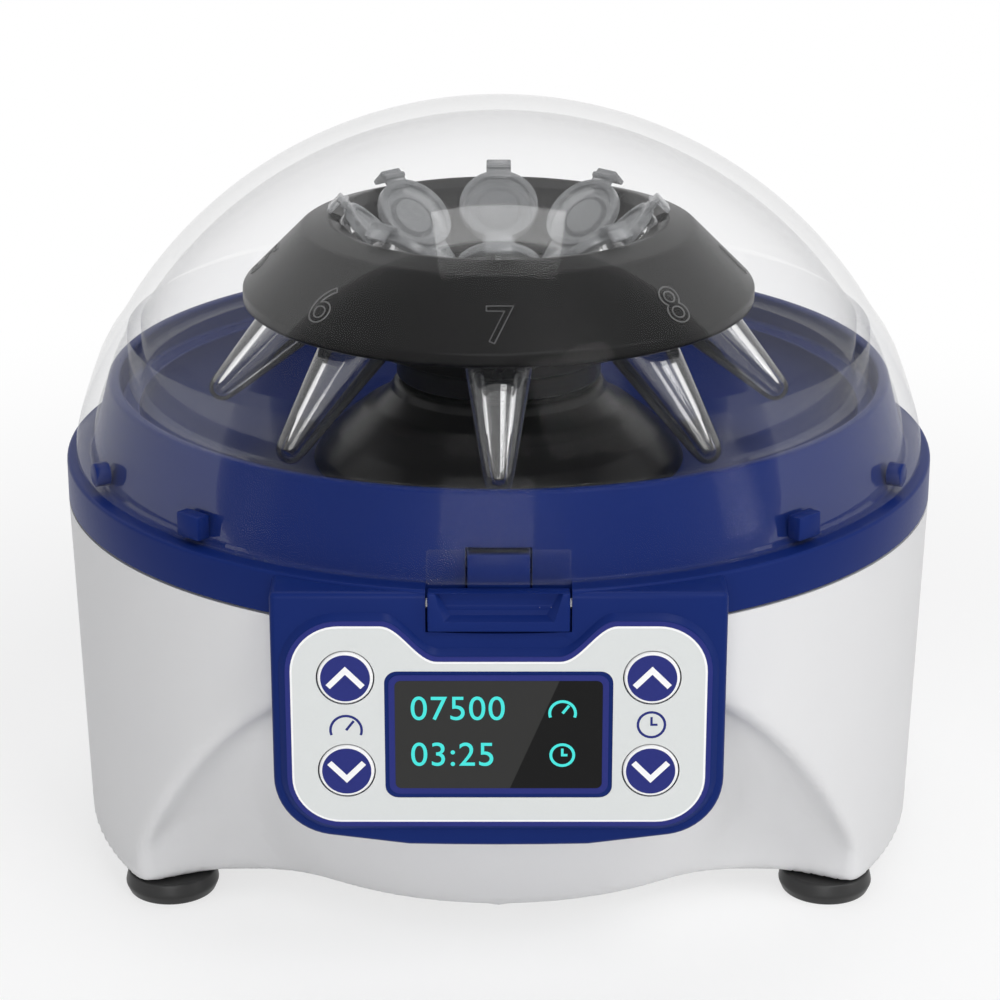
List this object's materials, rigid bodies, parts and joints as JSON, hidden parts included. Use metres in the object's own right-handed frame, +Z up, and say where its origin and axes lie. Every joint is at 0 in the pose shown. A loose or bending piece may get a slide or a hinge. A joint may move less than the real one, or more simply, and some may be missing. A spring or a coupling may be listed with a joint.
{
  "type": "mini centrifuge",
  "caption": "Domed personal bench centrifuge with a clear hinged lid, an angled rotor for microtubes, a front latch and a membrane control panel.",
  "frame": {"origin": "centre of the footprint at the feet's standing plane", "axes": "+Z up, along the rotor's axis; the control panel faces -Y and the lid's hinge is at +Y; +X to the right of someone facing the panel"},
  "size_m": [0.144, 0.1508, 0.1247],
  "materials": {
    "white_shell": "fine satin, moulded",
    "blue_shell": "satin gloss, moulded",
    "clear_lid": "clear polycarbonate",
    "clear_tube": "natural polypropylene, frosted",
    "black_plastic": "satin",
    "black_rubber": "matt",
    "panel_film": "printed membrane",
    "button_caps": "printed membrane key",
    "dark_window": "polished",
    "steel": "satin",
    "circuit_board": "solder mask",
    "display_body": "moulded"
  },
  "bodies": {
    "base": {"lower_housing": "white_shell", "upper_deck": "blue_shell", "bottom_plate": "white_shell", "plate_screw_1": "steel", "plate_screw_2": "steel", "plate_screw_3": "steel", "foot_1": "black_rubber", "foot_2": "black_rubber", "foot_3": "black_rubber", "foot_4": "black_rubber", "panel_overlay": "panel_film", "display_window": "dark_window", "display_module": "display_body", "control_board": "circuit_board", "latch_pin": "steel", "latch_spring": "steel", "hinge_pin": "steel", "lid_spring": "steel", "lid_switch": "black_plastic", "motor_cover": "black_plastic", "motor_body": "steel", "motor_bracket": "steel", "damper_1": "black_rubber", "damper_2": "black_rubber", "damper_3": "black_rubber", "bracket_screw_1": "steel", "bracket_screw_2": "steel", "bracket_screw_3": "steel", "rear_panel": "white_shell", "power_inlet": "black_plastic"},
    "lid": {"lid": "clear_lid"},
    "rotor": {"rotor": "black_plastic", "rotor_nut": "black_plastic", "motor_shaft": "steel", "tube_1": "clear_tube", "tube_2": "clear_tube", "tube_3": "clear_tube", "tube_4": "clear_tube", "tube_5": "clear_tube", "tube_6": "clear_tube", "tube_7": "clear_tube", "tube_8": "clear_tube", "cap_1": "clear_tube", "cap_2": "clear_tube", "cap_3": "clear_tube", "cap_4": "clear_tube", "cap_5": "clear_tube", "cap_6": "clear_tube", "cap_7": "clear_tube", "cap_8": "clear_tube"},
    "latch": {"latch_button": "blue_shell"},
    "button_speed_up": {"button_speed_up": "button_caps"},
    "button_speed_down": {"button_speed_down": "button_caps"},
    "button_time_up": {"button_time_up": "button_caps"},
    "button_time_down": {"button_time_down": "button_caps"},
    "power_rocker": {"power_switch": "black_plastic"}
  },
  "joints": [
    {"name": "lid_hinge", "type": "hinge", "parent": "base", "child": "lid", "pos_m": [0, 0.0718, 0.0705], "axis": [-1, 0, 0], "range_deg": [0, 80]},
    {"name": "rotor_spin", "type": "hinge", "parent": "base", "child": "rotor", "pos_m": [0, -0.0027, 0.09], "axis": [0, 0, 1], "continuous": true},
    {"name": "latch_press", "type": "hinge", "parent": "base", "child": "latch", "pos_m": [0, -0.072, 0.0652], "axis": [-1, 0, 0], "range_deg": [0, 12], "stiffness_Nm_per_rad": 0.3},
    {"name": "button_speed_up_press", "type": "slide", "parent": "base", "child": "button_speed_up", "axis": [0, 1, 0], "range_m": [0, 0.0006], "stiffness_N_per_m": 1500},
    {"name": "button_speed_down_press", "type": "slide", "parent": "base", "child": "button_speed_down", "axis": [0, 1, 0], "range_m": [0, 0.0006], "stiffness_N_per_m": 1500},
    {"name": "button_time_up_press", "type": "slide", "parent": "base", "child": "button_time_up", "axis": [0, 1, 0], "range_m": [0, 0.0006], "stiffness_N_per_m": 1500},
    {"name": "button_time_down_press", "type": "slide", "parent": "base", "child": "button_time_down", "axis": [0, 1, 0], "range_m": [0, 0.0006], "stiffness_N_per_m": 1500},
    {"name": "power_rock", "type": "hinge", "parent": "base", "child": "power_rocker", "pos_m": [0.0075, 0.0635, 0.05175], "axis": [1, 0, 0], "range_deg": [0, 16]}
  ]
}
